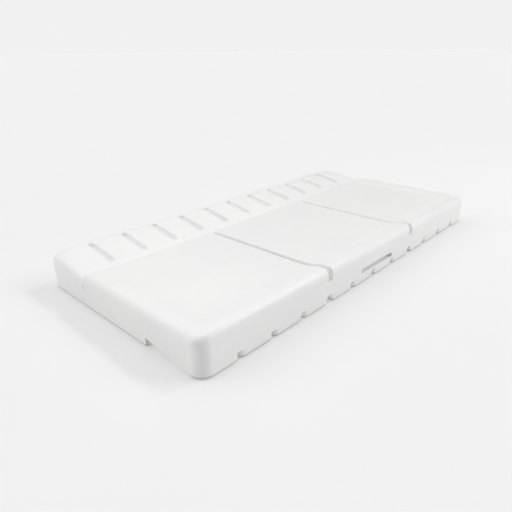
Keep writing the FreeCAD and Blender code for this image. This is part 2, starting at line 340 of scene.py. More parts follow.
def channel_outline(form):
    """(distance, height) points from the middle of a channel out to the flat of a rib."""
    mouth, throat, top, foot, crown = form
    points = [(0.0, top)]
    for angle in quarter(4):
        points.append((throat - crown * (1 - math.sin(angle)), top - crown * (1 - math.cos(angle))))
    points.append(((throat + mouth) / 2, (top - crown + foot) / 2))
    for angle in quarter(4):
        points.append((mouth + foot * (1 - math.cos(angle)), foot * (1 - math.sin(angle))))
    return np.array(points)


FOLD_OUTLINE = channel_outline(FOLD_CHANNEL)
FLEX_OUTLINE = channel_outline(FLEX_CHANNEL)
MOUTH_OUTLINE = channel_outline(FLARED_MOUTH)
FOAM_OUTLINE = channel_outline(FOAM_MOUTH)
CHANNEL_REACH = MOUTH_OUTLINE[-1, 0]


def on_fold(middle):
    return abs(abs(middle) - FOLD_X) < 1.0


def outlines_at(middle, mouth):
    """Outer and inner outline of the channel at middle; a fold channel runs straight through."""
    if on_fold(middle):
        return FOLD_OUTLINE, FOLD_OUTLINE
    return mouth, FLEX_OUTLINE


def underside(x, mouth=MOUTH_OUTLINE):
    """At station x: height of the mouth's outline, and (x, height) of the run further in."""
    middle = BAY * round(x / BAY)
    outer, inner = outlines_at(middle, mouth)
    distance = abs(x - middle)
    if abs(middle) > HALF_LENGTH - BAY / 2 or distance >= outer[-1, 0]:
        return 0.0, (x, 0.0)
    values = (outer[:, 1], inner[:, 0], inner[:, 1])
    height, run, run_height = (float(np.interp(distance, outer[:, 0], value)) for value in values)
    return height, (middle + math.copysign(run, x - middle), run_height)


def stations(x0, x1, mouth=MOUTH_OUTLINE):
    """Positions from x0 to x1 along the mat: the points of the channels, and some on the ribs."""
    found = {x0, x1}
    for k in range(1 - SIDE_BAYS, SIDE_BAYS):
        for distance, _ in outlines_at(k * BAY, mouth)[0]:
            found.update((k * BAY + distance, k * BAY - distance))
    for k in range(-SIDE_BAYS, SIDE_BAYS):
        found.update((k + share) * BAY for share in RIB_SHARES)
    kept = [x0]
    for x in sorted(found):
        if x > kept[-1] + 0.1 and x < x1 - 0.1:
            kept.append(x)
    return kept + [x1]


def long_hem(x, q=0.0):
    """Hem of a long face at station x, from its inner edge out to the face.

    On a rib and in a fold channel it is rolled under; a flex channel's mouth is flared."""
    middle = BAY * round(x / BAY)
    height, (run, run_height) = underside(x)
    if height > 0 and not on_fold(middle):
        depth = FLARE_DEPTH
        inner = (run, max(run_height, HEM_Z))
        lift = HEM_R * max(0.0, 1 - height / FLARED_MOUTH[3])
        outer = (x, max(height, HEM_Z) + lift)
    else:
        reach = 0.4
        slope = (underside(x + reach)[0] - underside(x - reach)[0]) / (2 * reach) if height > 0 else 0.0
        into_foam = Vector((-slope, 1.0)).normalized()
        depth = HEM_R
        inner = (x, max(height, HEM_Z))
        outer = (x + HEM_R * into_foam.x, inner[1] + HEM_R * into_foam.y)
    points = []
    for angle in ROLL:
        share = 1 - math.cos(angle)
        points.append((inner[0] + share * (outer[0] - inner[0]), q + depth * (1 - math.sin(angle)),
                       inner[1] + share * (outer[1] - inner[1])))
    return points


class Cover:
    """What a panel and a strip differ in."""

    def __init__(self, name, depth, height, face_r, crest, valley_r, at_front):
        self.name = name
        self.depth = depth - CREASE_HALF
        self.height = height
        self.face_r = face_r
        self.crest = crest
        self.valley_r = valley_r
        self.at_front = at_front

    def skin_height(self, p, q):
        """Height of the skin away from the ends of the mat, its outer long border included."""
        return self.height(p, q) - rounding(q, self.face_r, self.crest)

    def place(self, side):
        """Local (x, q, z) to the mat's frame; side -1 keeps the left, 1 mirrors to the right."""
        def placed(points):
            x = -side * points[:, 0]
            y = -HALF_WIDTH + points[:, 1] if self.at_front else HALF_WIDTH - points[:, 1]
            return np.column_stack([x, y, points[:, 2]])
        return placed


PANEL = Cover("panel", PANEL_DEPTH, panel_height, LIP_R, 1.0, PANEL_BACK_R, True)
STRIP = Cover("strip", STRIP_DEPTH, strip_height, STRIP_BACK_R, 0.0, STRIP_VALLEY_R, False)


def crease_shut(z):
    """1 under the crease, where panel and strip meet face to face, 0 in the open crease."""
    return ease((CREASE_FLOOR + CREASE_FADE / 2 - z) / CREASE_FADE)


def side_plan(cover, s, inset, long_p, shut):
    """Ring of a side cover, s inside its outline: (p, q) from the fold, round the end and back.

    shut holds, for each column, how far the crease is closed at that ring's height."""
    near = inset + s
    corner = max(CORNER_R - near, LEAST_CORNER_R)
    centre = near + corner
    points = [(p, near) for p in long_p]
    for a in quarter(TURN_STEPS)[1:]:
        points.append((centre - corner * math.sin(a), centre - corner * math.cos(a)))
    first = len(points)
    open_notch = NOTCH_R + NOTCH_GROWTH * s
    notch = open_notch + (NOTCH_SHUT - open_notch) * shut[first:]
    valley = cover.depth - near + shut[first:] * CREASE_HALF
    for i, share in enumerate(END_SHARES[1:]):
        last = valley[i] - notch[i]
        points.append((near, centre + share * (last - centre)))
    for i, a in enumerate(quarter(NOTCH_STEPS)[1:], len(END_SHARES) - 1):
        points.append((near + notch[i] * (1 - math.cos(a)), valley[i] - notch[i] * (1 - math.sin(a))))
    back = VALLEY_LEAD + list(reversed(long_p))
    for i, p in enumerate(back, len(END_SHARES) - 1 + NOTCH_STEPS):
        begin = near + notch[i]
        if p < VALLEY_LEAD_REACH:
            p = begin + (p - NOTCH_R) * (VALLEY_LEAD_REACH - begin) / (VALLEY_LEAD_REACH - NOTCH_R)
        points.append((p, valley[i]))
    return np.array(points)


def plan_counts(long_p):
    """Number of points on the long face, corner, end, notch and valley of side_plan."""
    valley = len(VALLEY_LEAD) + len(long_p)
    return (len(long_p), TURN_STEPS, len(END_SHARES) - 1, NOTCH_STEPS, valley)


def turning_columns(counts):
    """Columns in the middle of the corner and in the middle of the notch."""
    end = counts[0] - 1 + TURN_STEPS
    return end - TURN_STEPS // 2, end + counts[2] + NOTCH_STEPS // 2


def side_radii(cover, counts):
    """Rounding radius of the border at each column."""
    corner = ease(np.arange(1, TURN_STEPS + 1) / TURN_STEPS)
    notch = np.arange(1, NOTCH_STEPS + 1) / NOTCH_STEPS
    return np.concatenate([
        np.full(counts[0], cover.face_r), cover.face_r + corner * (END_R - cover.face_r),
        np.full(counts[2], END_R), END_R + notch * (cover.valley_r - END_R),
        np.full(counts[4], cover.valley_r)])


def side_crests(cover, counts):
    """Share of the crest at each column: the whole length of the long face, gone after the corner."""
    corner = ease(np.arange(1, TURN_STEPS + 1) / TURN_STEPS)
    rest = np.zeros(counts[2] + NOTCH_STEPS + counts[4])
    return np.concatenate([np.full(counts[0], cover.crest), cover.crest * (1 - corner), rest])


def recess_top(cover, p, q):
    """Height of the finger recess under the end, HEM_Z where there is none."""
    low, high = RECESS_Q
    if not cover.at_front or p > CORNER_R or not low < q < high + 0.2:
        return HEM_Z
    return HEM_Z + (RECESS_TOP - HEM_Z) * (q - low) / (high - low)


def rolled_hem(p, q, inward, low):
    """Hem at a point of the corners and ends, from its inner edge out to the face."""
    points = []
    for angle in ROLL:
        depth = HEM_R * (1 - math.sin(angle))
        z = low + HEM_R * (1 - math.cos(angle))
        points.append((p + inward[0] * depth, q + inward[1] * depth, z))
    return points


def inward_ways(plan, counts):
    """Unit vectors into the cover at each column of the outline."""
    corner = quarter(TURN_STEPS)[1:]
    ways = [(0.0, 1.0)] * counts[0]
    ways += [(math.sin(a), math.cos(a)) for a in corner]
    return ways + [(1.0, 0.0)] * sum(counts[2:])


def side_top(cover, border, counts, inset):
    """Top patch of a side cover inside its border ring: rows from the long face to the valley."""
    middle, notch = turning_columns(counts)
    face = border[:middle + 1, :2]
    end = border[middle:notch + 1, :2]
    valley = border[notch:, :2][::-1]
    cut_p = face[0, 0]
    v = (end[:, 1] - end[0, 1]) / (end[-1, 1] - end[0, 1])
    u = (cut_p - face[:, 0]) / (cut_p - face[-1, 0])
    cut = np.column_stack([np.full(len(v), cut_p), face[0, 1] + v * (valley[0, 1] - face[0, 1])])
    u, v = u[None, :, None], v[:, None, None]
    plan = (1 - v) * face[None] + v * valley[None] + (1 - u) * cut[:, None] + u * end[:, None]
    plan -= (1 - u) * (1 - v) * face[0] + u * (1 - v) * face[-1]
    plan -= (1 - u) * v * valley[0] + u * v * valley[-1]
    z = cover.height(plan[..., 0], plan[..., 1]) - inset
    return np.dstack([plan, z])


def side_rows(cover, long_p, inset, closed):
    """Rows of (p, q, z) from the foot of a side cover up to the border ring of its top."""
    counts = plan_counts(long_p)
    radii = np.maximum(side_radii(cover, counts) - inset, 1.0)
    crests = side_crests(cover, counts)
    total = sum(counts)
    is_open = np.zeros(total)
    outline = side_plan(cover, 0.0, inset, long_p, is_open)
    wall_top = cover.height(outline[:, 0], outline[:, 1]) - inset - radii
    base = np.full(total, BASE_TOP + FIT if closed else FACE_BASE)
    if not closed:
        base[-counts[4]:] = CREASE_FOOT
    rows = []
    for share in WALL_SHARES:
        z = base + share * (wall_top - base)
        shut = is_open if closed else crease_shut(z)
        rows.append(np.column_stack([side_plan(cover, 0.0, inset, long_p, shut), z]))
    for s in BORDER:
        plan = side_plan(cover, s, inset, long_p, is_open)
        z = cover.height(plan[:, 0], plan[:, 1]) - inset - rounding(s, radii, crests)
        rows.append(np.column_stack([plan, z]))
    if not closed:
        hems = []
        for c, way in enumerate(inward_ways(outline, counts)):
            p, q, _ = rows[0][c]
            if c < counts[0]:
                hem = [(x + HALF_LENGTH, y, z) for x, y, z in long_hem(p - HALF_LENGTH, q)]
            else:
                hem = rolled_hem(p, q, way, recess_top(cover, p, q))
            hems.append(hem)
        rows = list(np.array(hems).transpose(1, 0, 2)) + rows
    return np.array(rows), counts


def capsule(points, half, radius):
    """Nearest points, on the outline of a capsule along v, to (u, v) points around it."""
    spine = np.clip(points[:, 1], -half, half)
    away = np.column_stack([points[:, 0], points[:, 1] - spine])
    away /= np.linalg.norm(away, axis=1)[:, None]
    return np.column_stack([away[:, 0] * radius, spine + away[:, 1] * radius])


def lead_in(loop, at, edge):
    """Rings from a loop of (u, v) points to the edge of a pocket; at(points, depth) is 3-D."""
    return [at(loop + (edge - loop) * share, 0.0) for share in (0.0, 0.4, 0.75)]


def trough_rings(loop, at, inset, shift):
    """Rings down into a slot with softly rounded edges, a round floor and ends that run out."""
    width = SLOT_R + inset
    turn = 2 * math.atan(SLOT_DEPTH / width)
    edge_r = max(SLOT_EDGE_R - inset, 1.0)
    floor_r = width / math.sin(turn) - edge_r
    half = SLOT_HALF - SLOT_R
    rings = lead_in(loop, at, capsule(loop, half, width))
    sides = [(edge_r * math.sin(a), edge_r * (1 - math.cos(a))) for a in np.linspace(0, turn, 7)]
    for a in np.linspace(turn, 0.1, 8)[1:]:
        sides.append((width - floor_r * math.sin(a), SLOT_DEPTH - floor_r * (1 - math.cos(a))))
    for inward, depth in sides:
        share = inward / width
        shorter = half - SLOT_RUN_OUT * share
        outline = capsule(loop * (1, shorter / half), shorter, width - inward)
        rings.append(at(outline + (shift * share, 0), depth))
    return rings


def mouth_rings(loop, at, half, radius, edge_r, depth):
    """Rings over the rounded edge of a straight-sided hole, down to depth."""
    rings = lead_in(loop, at, capsule(loop, half, radius + edge_r))
    for a in quarter(4):
        outline = capsule(loop, half, radius + edge_r * (1 - math.sin(a)))
        rings.append(at(outline, edge_r * (1 - math.cos(a))))
    return rings + [at(outline, depth)]


def loop_of(rows, r0, r1, c0, c1):
    """Points round the block of cells between rows r0, r1 and columns c0, c1."""
    return np.concatenate([rows[r0, c0:c1], rows[r0:r1, c1], rows[r1, c1:c0:-1], rows[r1:r0:-1, c0]])


def add_slot(surface, cover, rows, removed, x, p_of, r0, r1, inset, side):
    """Replace a block of the strip's cells by a rounded slot at x."""
    xs = rows[r0, :, 0]
    columns = np.where(np.abs(xs - x) < CHANNEL_REACH + 0.3)[0]
    c0, c1 = columns[0], columns[-1]
    removed[r0:r1, c0:c1] = True
    plan = loop_of(rows, r0, r1, c0, c1)[:, :2] - (x, SLOT_Q)
    lean = (math.sin(SLOT_TILT), math.cos(SLOT_TILT))

    def at(points, depth):
        q = points[:, 1] + SLOT_Q
        z = cover.skin_height(p_of(points[:, 0] + x), q) - inset
        return np.column_stack([points[:, 0] + x, q - depth * lean[0], z - depth * lean[1]])

    rings = trough_rings(plan, at, inset, side * SLOT_SHIFT)
    surface.rings(rings)
    surface.cap(rings[-1])


def side_cover(cover, side, slots, inset=0.0, closed=False):
    """Surface of a left cover, or of its closed core when inset."""
    cut = FOLD_P - BAND_HALF - (FIT if closed else 0.0)
    long_p = [x + HALF_LENGTH for x in reversed(stations(CORNER_R - HALF_LENGTH, cut - HALF_LENGTH))]
    rows, counts = side_rows(cover, long_p, inset, closed)
    top = side_top(cover, rows[-1], counts, inset)
    last = counts[0] - 1
    front = np.concatenate([rows[:, :last + 1], top[1:, :last + 1]])
    removed = np.zeros((front.shape[0] - 1, front.shape[1] - 1), bool)
    surface = Surface()
    for k in slots:
        r0 = rows.shape[0] - 1 - SLOT_BORDER_ROWS
        add_slot(surface, cover, front, removed, k * BAY, lambda p: p,
                 r0, front.shape[0] - 1, inset, side)
    surface.grid(front, removed)
    band = rows[:, last:]
    skipped = np.zeros((band.shape[0] - 1, band.shape[1] - 1), bool)
    if not closed:
        skipped[:len(ROLL), 1 - counts[4]:] = True
    surface.grid(band, skipped)
    surface.grid(top[:, last:])
    if closed:
        surface.cap(rows[0])
        cut_face = list(rows[:, 0]) + list(top[1:, 0]) + list(rows[::-1, -1][1:])
        surface.cap(cut_face)
    for i, point in enumerate(surface.points):
        surface.points[i] = np.array((point[0] - HALF_LENGTH, point[1], point[2]))
    return surface


def top_shares(cover):
    """Rows of the top patch along the cut side, as shares from the face to the valley."""
    long_p = [FOLD_P, CORNER_R]
    counts = plan_counts(long_p)
    border = side_plan(cover, ROUND_DEPTH, 0.0, long_p, np.zeros(sum(counts)))
    middle, notch = turning_columns(counts)
    q = border[middle:notch + 1, 1]
    return (q - q[0]) / (q[-1] - q[0])


def profile(cover, x, inset=0.0, closed=False):
    """Section of a cover at x, away from the ends: (x, q, z) from its hem over to the valley."""
    depth = cover.depth
    face_r = max(cover.face_r - inset, 1.0)
    valley_r = max(cover.valley_r - inset, 1.0)

    def height(q):
        return float(cover.height(FAR, q)) - inset

    base = BASE_TOP + FIT if closed else FACE_BASE
    valley_base = base if closed else CREASE_FOOT
    points = []
    if not closed:
        points += long_hem(x)
    wall_top = height(inset) - face_r
    points += [(x, inset, base + share * (wall_top - base)) for share in WALL_SHARES]
    points += [(x, inset + s, height(inset + s) - float(rounding(s, face_r, cover.crest)))
               for s in BORDER]
    first, last = inset + ROUND_DEPTH, depth - inset - ROUND_DEPTH
    points += [(x, q, height(q)) for q in first + top_shares(cover)[1:-1] * (last - first)]
    for s in BORDER[::-1]:
        q = depth - inset - s
        points.append((x, q, height(q) - float(rounding(s, valley_r))))
    wall_top = height(depth - inset) - valley_r
    for share in WALL_SHARES[::-1]:
        z = valley_base + share * (wall_top - valley_base)
        shut = 0.0 if closed else float(crease_shut(z))
        points.append((x, depth - inset + shut * CREASE_HALF, z))
    return points


def middle_cover(cover, slots, grip=False, inset=0.0, closed=False):
    """Surface of a middle cover, or of its closed core when inset."""
    reach = FOLD_X - BAND_HALF - (FIT if closed else 0.0)
    rows = np.array([profile(cover, x, inset, closed) for x in stations(-reach, reach)])
    rows = rows.transpose(1, 0, 2)
    removed = np.zeros((rows.shape[0] - 1, rows.shape[1] - 1), bool)
    surface = Surface()
    walls = (0 if closed else len(ROLL)) + len(WALL_SHARES)
    border_end = walls + len(BORDER) - 1
    top_end = border_end + len(top_shares(cover)) - 1
    for k in slots:
        add_slot(surface, cover, rows, removed, k * BAY, lambda x: FAR,
                 border_end - SLOT_BORDER_ROWS, top_end, inset, -1)
    if grip:
        add_grip_hole(surface, rows, removed)
    surface.grid(rows, removed)
    if closed:
        surface.cap(rows[:, 0])
        surface.cap(rows[::-1, -1])
        surface.cap(np.concatenate([rows[0], rows[-1][::-1]]))
    return surface


def add_grip_hole(surface, rows, removed):
    """Replace a block of the front face by the rounded mouth of the grip slot."""
    r0, r1 = len(ROLL), len(ROLL) + GRIP_ROWS
    xs = rows[r0, :, 0]
    columns = np.where(np.abs(xs - GRIP_X) < GRIP_HALF + GRIP_MARGIN)[0]
    c0, c1 = columns[0], columns[-1]
    removed[r0:r1, c0:c1] = True
    loop = loop_of(rows, r0, r1, c0, c1)
    flat = np.column_stack([loop[:, 2] - GRIP_Z, loop[:, 0] - GRIP_X])

    def at(points, depth):
        q = np.full(len(points), depth)
        return np.column_stack([points[:, 1] + GRIP_X, q, points[:, 0] + GRIP_Z])

    surface.rings(mouth_rings(flat, at, GRIP_HALF - GRIP_R, GRIP_R, GRIP_EDGE_R, SKIN))


def grip_cup():
    """Liner of the grip slot: a cup with a rounded rim, as one closed surface."""
    turn = np.linspace(0, 2 * math.pi, CUP_STEPS, endpoint=False)
    half = GRIP_HALF - GRIP_R
    spine = np.where(np.cos(turn) >= 0, half, -half)
    outside = GRIP_R + GRIP_WALL
    # (radius, depth) from the rounded floor out over the rim and back outside
    steps = [(GRIP_R - 4.0, GRIP_DEPTH), (GRIP_R - 1.2, GRIP_DEPTH - 0.4),
             (GRIP_R - 0.1, GRIP_DEPTH - 2.5), (GRIP_R, SKIN + 0.8), (GRIP_R + 0.5, INNER),
             (outside, SKIN + 0.8), (outside, GRIP_DEPTH - 2.0), (GRIP_R, GRIP_DEPTH + GRIP_WALL)]
    rings = []
    for radius, depth in steps:
        x = GRIP_X + spine + radius * np.cos(turn)
        z = GRIP_Z + radius * np.sin(turn)
        rings.append(np.column_stack([x, np.full(CUP_STEPS, depth), z]))
    surface = Surface()
    surface.rings(rings)
    surface.cap(rings[0])
    surface.cap(rings[-1])
    return surface


def close_band(surface, rows, x_row):
    """Close a fold band: back under the valley, along its arched underside, and its two sides."""
    lows = np.array([max(underside(x)[0], HEM_Z) for x in x_row])
    back = rows[-1].copy()
    back[:, 2] = np.minimum(lows, back[:, 2])
    extra = [back]
    for share in np.linspace(1, 0, UNDER_ROWS + 1)[1:]:
        line = back.copy()
        line[:, 1] = rows[0][:, 1] + share * (back[:, 1] - rows[0][:, 1])
        line[:, 0] = rows[0][:, 0] + share * (back[:, 0] - rows[0][:, 0])
        extra.append(line)
    rows = np.concatenate([rows, np.array(extra)])
    surface.cap(rows[:, 0])
    surface.cap(rows[::-1, -1])
    return rows


def strip_band(side):
    """The strip across the left fold line, with the fold's own slot, before it bends."""
    steps = BAND_HALF * np.linspace(-1, 1, BAND_COLUMNS)
    rows = np.array([profile(STRIP, x - FOLD_X) for x in steps]).transpose(1, 0, 2)
    surface = Surface()
    removed = np.zeros((rows.shape[0] + UNDER_ROWS, rows.shape[1] - 1), bool)
    border_end = len(ROLL) + len(WALL_SHARES) + len(BORDER) - 1
    top_end = border_end + len(top_shares(STRIP)) - 1
    add_slot(surface, STRIP, rows, removed, -FOLD_X, lambda x: FAR,
             border_end - SLOT_BORDER_ROWS, top_end, 0.0, side)
    rows = close_band(surface, rows, [x - FOLD_X for x in steps])
    surface.grid(rows, removed)
    return surface


def groove_columns():
    """Columns across the groove: (x from the fold, inset of the edge rounding, floor height)."""
    edge = [(-BAND_HALF, 0.0, None)]
    reach = GROOVE_HALF + GROOVE_EDGE_R
    for a in quarter(5):
        edge.append((-reach + GROOVE_EDGE_R * math.sin(a), GROOVE_EDGE_R * (1 - math.cos(a)), None))
    inner = GROOVE_HALF - 0.3
    bowl = []
    for a in np.linspace(0, math.pi, 11):
        bowl.append((-inner * math.cos(a), 0.0, GROOVE_FLOOR + inner * (1 - math.sin(a))))
    return edge + bowl + [(-x, inset, floor) for x, inset, floor in reversed(edge)]


def groove_profile(x, floor):
    """Section at a column of the groove's floor: like profile(), but low, with tighter rounding."""
    points = long_hem(x)
    wall_top = floor - GROOVE_END_R
    points += [(x, 0.0, FACE_BASE + share * (wall_top - FACE_BASE)) for share in WALL_SHARES]
    round_off = quarter(len(BORDER))[1:]
    for a in round_off:
        points.append((x, GROOVE_END_R * (1 - math.cos(a)), wall_top + GROOVE_END_R * math.sin(a)))
    first, last = ROUND_DEPTH, PANEL.depth - ROUND_DEPTH
    points += [(x, q, floor) for q in first + top_shares(PANEL)[1:-1] * (last - first)]
    for a in round_off[::-1]:
        q = PANEL.depth - GROOVE_END_R * (1 - math.cos(a))
        points.append((x, q, wall_top + GROOVE_END_R * math.sin(a)))
    base = CREASE_FOOT
    for share in WALL_SHARES[::-1]:
        z = base + share * (wall_top - base)
        points.append((x, PANEL.depth + float(crease_shut(z)) * CREASE_HALF, z))
    return points


def inset_profile(x, inset):
    """profile() of the panel moved inwards by inset, fading out below the groove's floor."""
    points = np.array(profile(PANEL, x))
    along = np.gradient(points[:, 1:], axis=0)
    along[:len(ROLL)] = (0.0, 1.0)
    along /= np.linalg.norm(along, axis=1)[:, None]
    fade = ease((points[:, 2] - GROOVE_FLOOR + 4) / 10)
    points[:, 1] += along[:, 1] * inset * fade
    points[:, 2] -= along[:, 0] * inset * fade
    return points


def fold_band():
    """The panels' skin and foam across the left fold line, with the groove, before it bends."""
    columns = []
    for x, inset, floor in groove_columns():
        place = x - FOLD_X
        columns.append(inset_profile(place, inset) if floor is None else groove_profile(place, floor))
    rows = np.array(columns).transpose(1, 0, 2)
    surface = Surface()
    rows = close_band(surface, rows, [x - FOLD_X for x, _, _ in groove_columns()])
    surface.grid(rows)
    return surface


def grip_room(x, near, depth):
    """Near face of a base block between its foot and its top, hollowed out round the grip liner."""
    room = GRIP_R + GRIP_WALL + FIT
    inside = near + depth if abs(x - GRIP_X) < GRIP_HALF + GRIP_WALL + FIT else near
    low, high = GRIP_Z - room, GRIP_Z + room
    return [(x, near, high), (x, inside, high), (x, inside, low), (x, near, low)]


def block_stations(x0, x1, ended):
    """Columns of a base block; two close together make an upright step."""
    xs = stations(x0, x1, FOAM_OUTLINE)
    if ended:
        radius = CORNER_R - INNER
        arcs = [x0 + radius * (1 - math.cos(a)) for a in quarter(8)]
        edge = x0 - INNER + RECESS_DEPTH
        return sorted(set(arcs[:-1] + [edge, edge + 0.4] + [x for x in xs if x > arcs[-1] - 0.01]))
    for way in (-1, 1):
        end = GRIP_X + way * (GRIP_HALF + GRIP_WALL + FIT)
        xs += [end - 0.05, end + 0.05]
    return sorted(xs)


def block_section(x, x0, ended):
    """Section of a base block at x: (x, q, z) from the near top edge, underneath, to the far one."""
    p = x - x0
    radius = CORNER_R - INNER
    side = 0.0
    if ended and p < radius:
        side = radius - math.sqrt(max(radius * radius - (radius - p) ** 2, 0.0))
    near, far = INNER + side, 2 * HALF_WIDTH - INNER - side
    height, run = underside(x, FOAM_OUTLINE)
    grip_depth = 0.0 if ended else GRIP_DEPTH + GRIP_WALL + FIT - INNER
    if not ended and abs(x - GRIP_X) < GRIP_HALF + GRIP_ROOF_MARGIN:
        height = min(height, GRIP_Z - GRIP_R - GRIP_WALL - FIT - GRIP_ROOF)
    pocket = FLARE_DEPTH + FIT
    inside = [pocket + 0.1 + share * (2 * HALF_WIDTH - 2 * pocket - 0.2) for share in BLOCK_SHARES]
    points = [(x, near, BASE_TOP)] + grip_room(x, near, grip_depth)
    points += [(x, near, height + 1), (x, near + 1, height), (x, max(near + 1, pocket), height)]
    for q in sorted([max(near + 1, min(q, far - 1)) for q in inside] + RECESS_ROWS):
        under = run[1]
        if ended and p <= RECESS_DEPTH - INNER + 0.01 and RECESS_Q[0] < q < RECESS_Q[1]:
            under = max(under, RECESS_TOP * (q - RECESS_Q[0]) / (RECESS_Q[1] - RECESS_Q[0]))
        points.append((run[0], q, under))
    points += [(x, min(far - 1, 2 * HALF_WIDTH - pocket), height), (x, far - 1, height)]
    return points + [(x, far, height + 1), (x, far, BASE_TOP)]


def base_block(x0, x1, ended):
    """Foam block with the channels underneath, from x0 to x1; ended where x0 is the mat's end."""
    rows = np.array([block_section(x, x0, ended) for x in block_stations(x0, x1, ended)])
    rows = rows.transpose(1, 0, 2)
    surface = Surface()
    surface.grid(rows)
    surface.grid(rows[[0, -1]])
    surface.cap(rows[:, 0])
    surface.cap(rows[::-1, -1])
    return surface


# =============================== materials ===============================

# painted shade: the grey that the skins take over their lowest few millimetres, standing in for the
# contact shadow at the floor
HEM_SHADE = (0.36, 0.34, 0.33)
SHADE_LOW = 0.0030          # metres: full up to this height, gone above SHADE_TOP
SHADE_TOP = 0.0065


class Shader:
    """A material's node tree with short ways to add and join nodes."""

    def __init__(self, name):
        self.material = bpy.data.materials.new(name)
        self.material.use_nodes = True
        self.tree = self.material.node_tree
        self.surface = self.tree.nodes["Principled BSDF"]
        self.place = self.add("ShaderNodeTexCoord").outputs["Object"]

    def add(self, kind, **settings):
        node = self.tree.nodes.new(kind)
        for key, value in settings.items():
            setattr(node, key, value)
        return node

    def join(self, source, target):
        self.tree.links.new(source, target)

    def noise(self, scale, detail=3.0, roughness=0.55):
        node = self.add("ShaderNodeTexNoise")
        node.inputs["Scale"].default_value = scale
        node.inputs["Detail"].default_value = detail
        node.inputs["Roughness"].default_value = roughness
        self.join(self.place, node.inputs["Vector"])
        return node.outputs["Fac"]

    def cells(self, scale):
        node = self.add("ShaderNodeTexVoronoi", feature="SMOOTH_F1")
        node.inputs["Scale"].default_value = scale
        node.inputs["Smoothness"].default_value = 0.6
        self.join(self.place, node.inputs["Vector"])
        return node.outputs["Distance"]

    def spread(self, value, low, high, out_low=0.0, out_high=1.0):
        node = self.add("ShaderNodeMapRange", clamp=True)
        for key, number in (("From Min", low), ("From Max", high),
                            ("To Min", out_low), ("To Max", out_high)):
            node.inputs[key].default_value = number
        self.join(value, node.inputs["Value"])
        return node.outputs["Result"]

    def blend(self, factor, first, second):
        node = self.add("ShaderNodeMix", data_type="RGBA")
        self.join(factor, node.inputs["Factor"])
        for value, socket in ((first, node.inputs["A"]), (second, node.inputs["B"])):
            if isinstance(value, tuple):
                socket.default_value = value + (1.0,)
            else:
                self.join(value, socket)
        return node.outputs["Result"]

    def shaded_hem(self, tone):
        """The tone, greyed over the lowest few millimetres as painted shade, to strengthen the contact
        shadow line at the floor.
        """
        axes = self.add("ShaderNodeSeparateXYZ")
        self.join(self.place, axes.inputs["Vector"])
        share = self.spread(axes.outputs["Z"], SHADE_LOW, SHADE_TOP, 1.0, 0.0)
        return self.blend(share, tone, HEM_SHADE)

    def math(self, operation, first, second):
        node = self.add("ShaderNodeMath", operation=operation)
        for value, socket in ((first, node.inputs[0]), (second, node.inputs[1])):
            if isinstance(value, float):
                socket.default_value = value
            else:
                self.join(value, socket)
        return node.outputs["Value"]

    def bump(self, height, distance, strength, below=None):
        node = self.add("ShaderNodeBump")
        node.inputs["Distance"].default_value = distance
        node.inputs["Strength"].default_value = strength
        self.join(height, node.inputs["Height"])
        if below is not None:
            self.join(below, node.inputs["Normal"])
        return node.outputs["Normal"]


def moulded_skin():
    """Satin white integral skin: fine leathery grain, soft undulation, faint handling marks, and
    painted shade along the hem.
    """
    shader = Shader("moulded_skin")
    cloud = shader.noise(5.0, 2.0)
    mottle = shader.noise(38.0, 4.0)
    tone = shader.blend(shader.spread(cloud, 0.35, 0.65), (0.885, 0.885, 0.882), (0.905, 0.903, 0.898))
    tone = shader.blend(shader.spread(mottle, 0.45, 0.8, 0.0, 0.5), tone, (0.875, 0.875, 0.873))
    marks = shader.spread(shader.noise(14.0, 6.0, 0.7), 0.6, 0.78)
    tone = shader.blend(shader.math("MULTIPLY", marks, 0.25), tone, (0.83, 0.825, 0.815))
    # painted contact shadow along the hem, laid over the skin's tone
    shader.join(shader.shaded_hem(tone), shader.surface.inputs["Base Color"])
    gloss = shader.spread(mottle, 0.3, 0.7, 0.30, 0.37)
    gloss = shader.math("ADD", gloss, shader.math("MULTIPLY", marks, 0.06))
    shader.join(gloss, shader.surface.inputs["Roughness"])
    swell = shader.bump(shader.noise(9.0, 1.0), 0.004, 0.10)
    grain = shader.bump(shader.cells(900.0), 0.0003, 0.22, swell)
    pores = shader.bump(shader.noise(2600.0, 2.0), 0.0001, 0.15, grain)
    shader.join(pores, shader.surface.inputs["Normal"])
    shader.surface.inputs["IOR"].default_value = 1.5
    return shader.material


def foam(name, light, dark, cell_scale, depth):
    """Matte foam: open cells of uneven size, slightly darker in their hollows."""
    shader = Shader(name)
    cells = shader.cells(cell_scale)
    large = shader.cells(cell_scale * 0.37)
    cloud = shader.noise(7.0, 3.0)
    tone = shader.blend(shader.spread(cloud, 0.3, 0.7), light, tuple(0.97 * value for value in light))
    tone = shader.blend(shader.spread(cells, 0.55, 0.1, 0.0, 0.6), tone, dark)
    shader.join(tone, shader.surface.inputs["Base Color"])
    shader.join(shader.spread(cells, 0.1, 0.6, 0.95, 0.8), shader.surface.inputs["Roughness"])
    pits = shader.bump(large, depth * 2.0, 0.3)
    shader.join(shader.bump(cells, depth, 0.5, pits), shader.surface.inputs["Normal"])
    shader.surface.inputs["Specular IOR Level"].default_value = 0.25
    return shader.material


# =============================== the pieces ===============================

SKIN_FINISH = moulded_skin()
CORE_FOAM = foam("soft_foam", (0.86, 0.83, 0.74), (0.62, 0.58, 0.48), 700.0, 0.0004)
BASE_FOAM = foam("dense_foam", (0.86, 0.86, 0.85), (0.72, 0.72, 0.71), 1100.0, 0.0002)


def finish_piece(piece, body, node, slot, material):
    piece.data.materials.clear()
    piece.data.materials.append(material)
    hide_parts(node)
    if body:
        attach(piece, body)


def add_covers(name, body, covers, place_of):
    for cover, surface, slot in covers:
        piece = surface.build(f"{name}_{cover.name}_skin", place_of(cover), SKIN)
        finish_piece(piece, body, f"{name}_{cover.name}_cover", slot, SKIN_FINISH)


